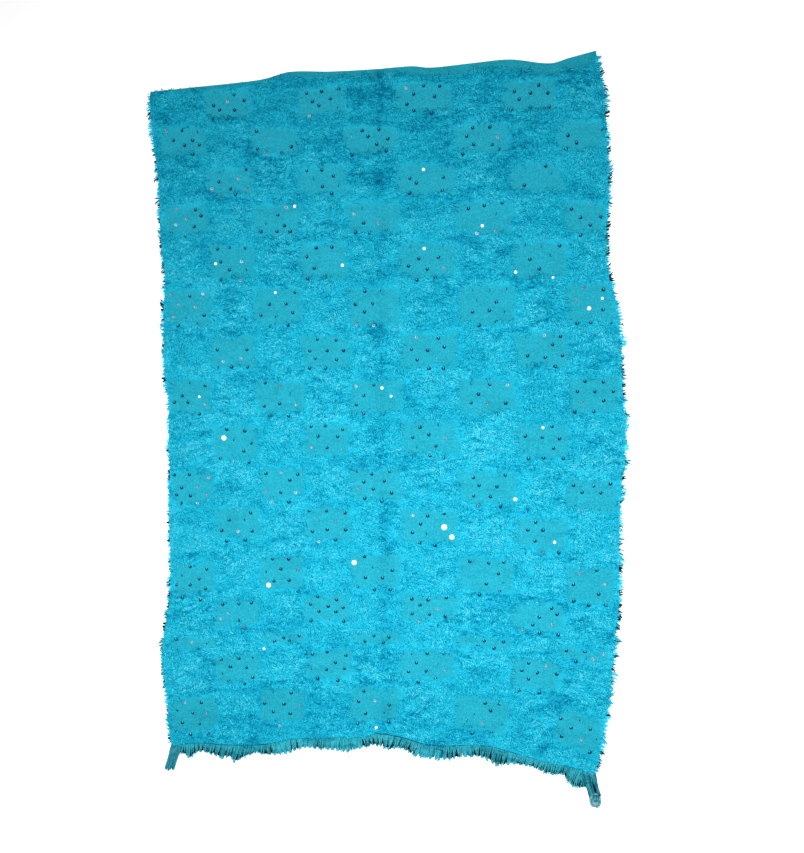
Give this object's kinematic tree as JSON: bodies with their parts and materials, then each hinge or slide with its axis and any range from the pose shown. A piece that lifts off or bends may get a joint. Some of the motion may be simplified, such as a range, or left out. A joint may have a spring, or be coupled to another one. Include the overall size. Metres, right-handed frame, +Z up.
{
  "type": "handira wedding blanket",
  "caption": "Hand-woven wool wedding blanket lying flat, with shag, a checkerboard of flat woven cells with sewn metal discs, a plain header, a fringed hem and corner tails.",
  "frame": {"origin": "middle of the blanket's bounding box, at the surface it lies on", "axes": "+X across the blanket, +Y up its length from the fringed hem to the plain header, +Z up out of the shag"},
  "size_m": [1.3766, 2.054, 0.0122],
  "materials": {
    "wool_cloth": "matt plain-woven turquoise wool with a soft nap",
    "wool_shag": "soft turquoise wool shag with darker roots",
    "wool_fringe": "matt twisted turquoise wool yarn, duller than the shag",
    "wool_tail": "felted dull teal wool yarn bundles",
    "sequin_metal": "worn cupped metal discs, dark with small bright glints"
  },
  "bodies": {
    "root": {"blanket_cloth": "wool_cloth", "bottom_fringe": "wool_fringe", "left_edge_locks": "wool_shag", "right_edge_locks": "wool_shag", "left_corner_tail": "wool_tail", "right_corner_tail": "wool_tail"}
  },
  "joints": []
}
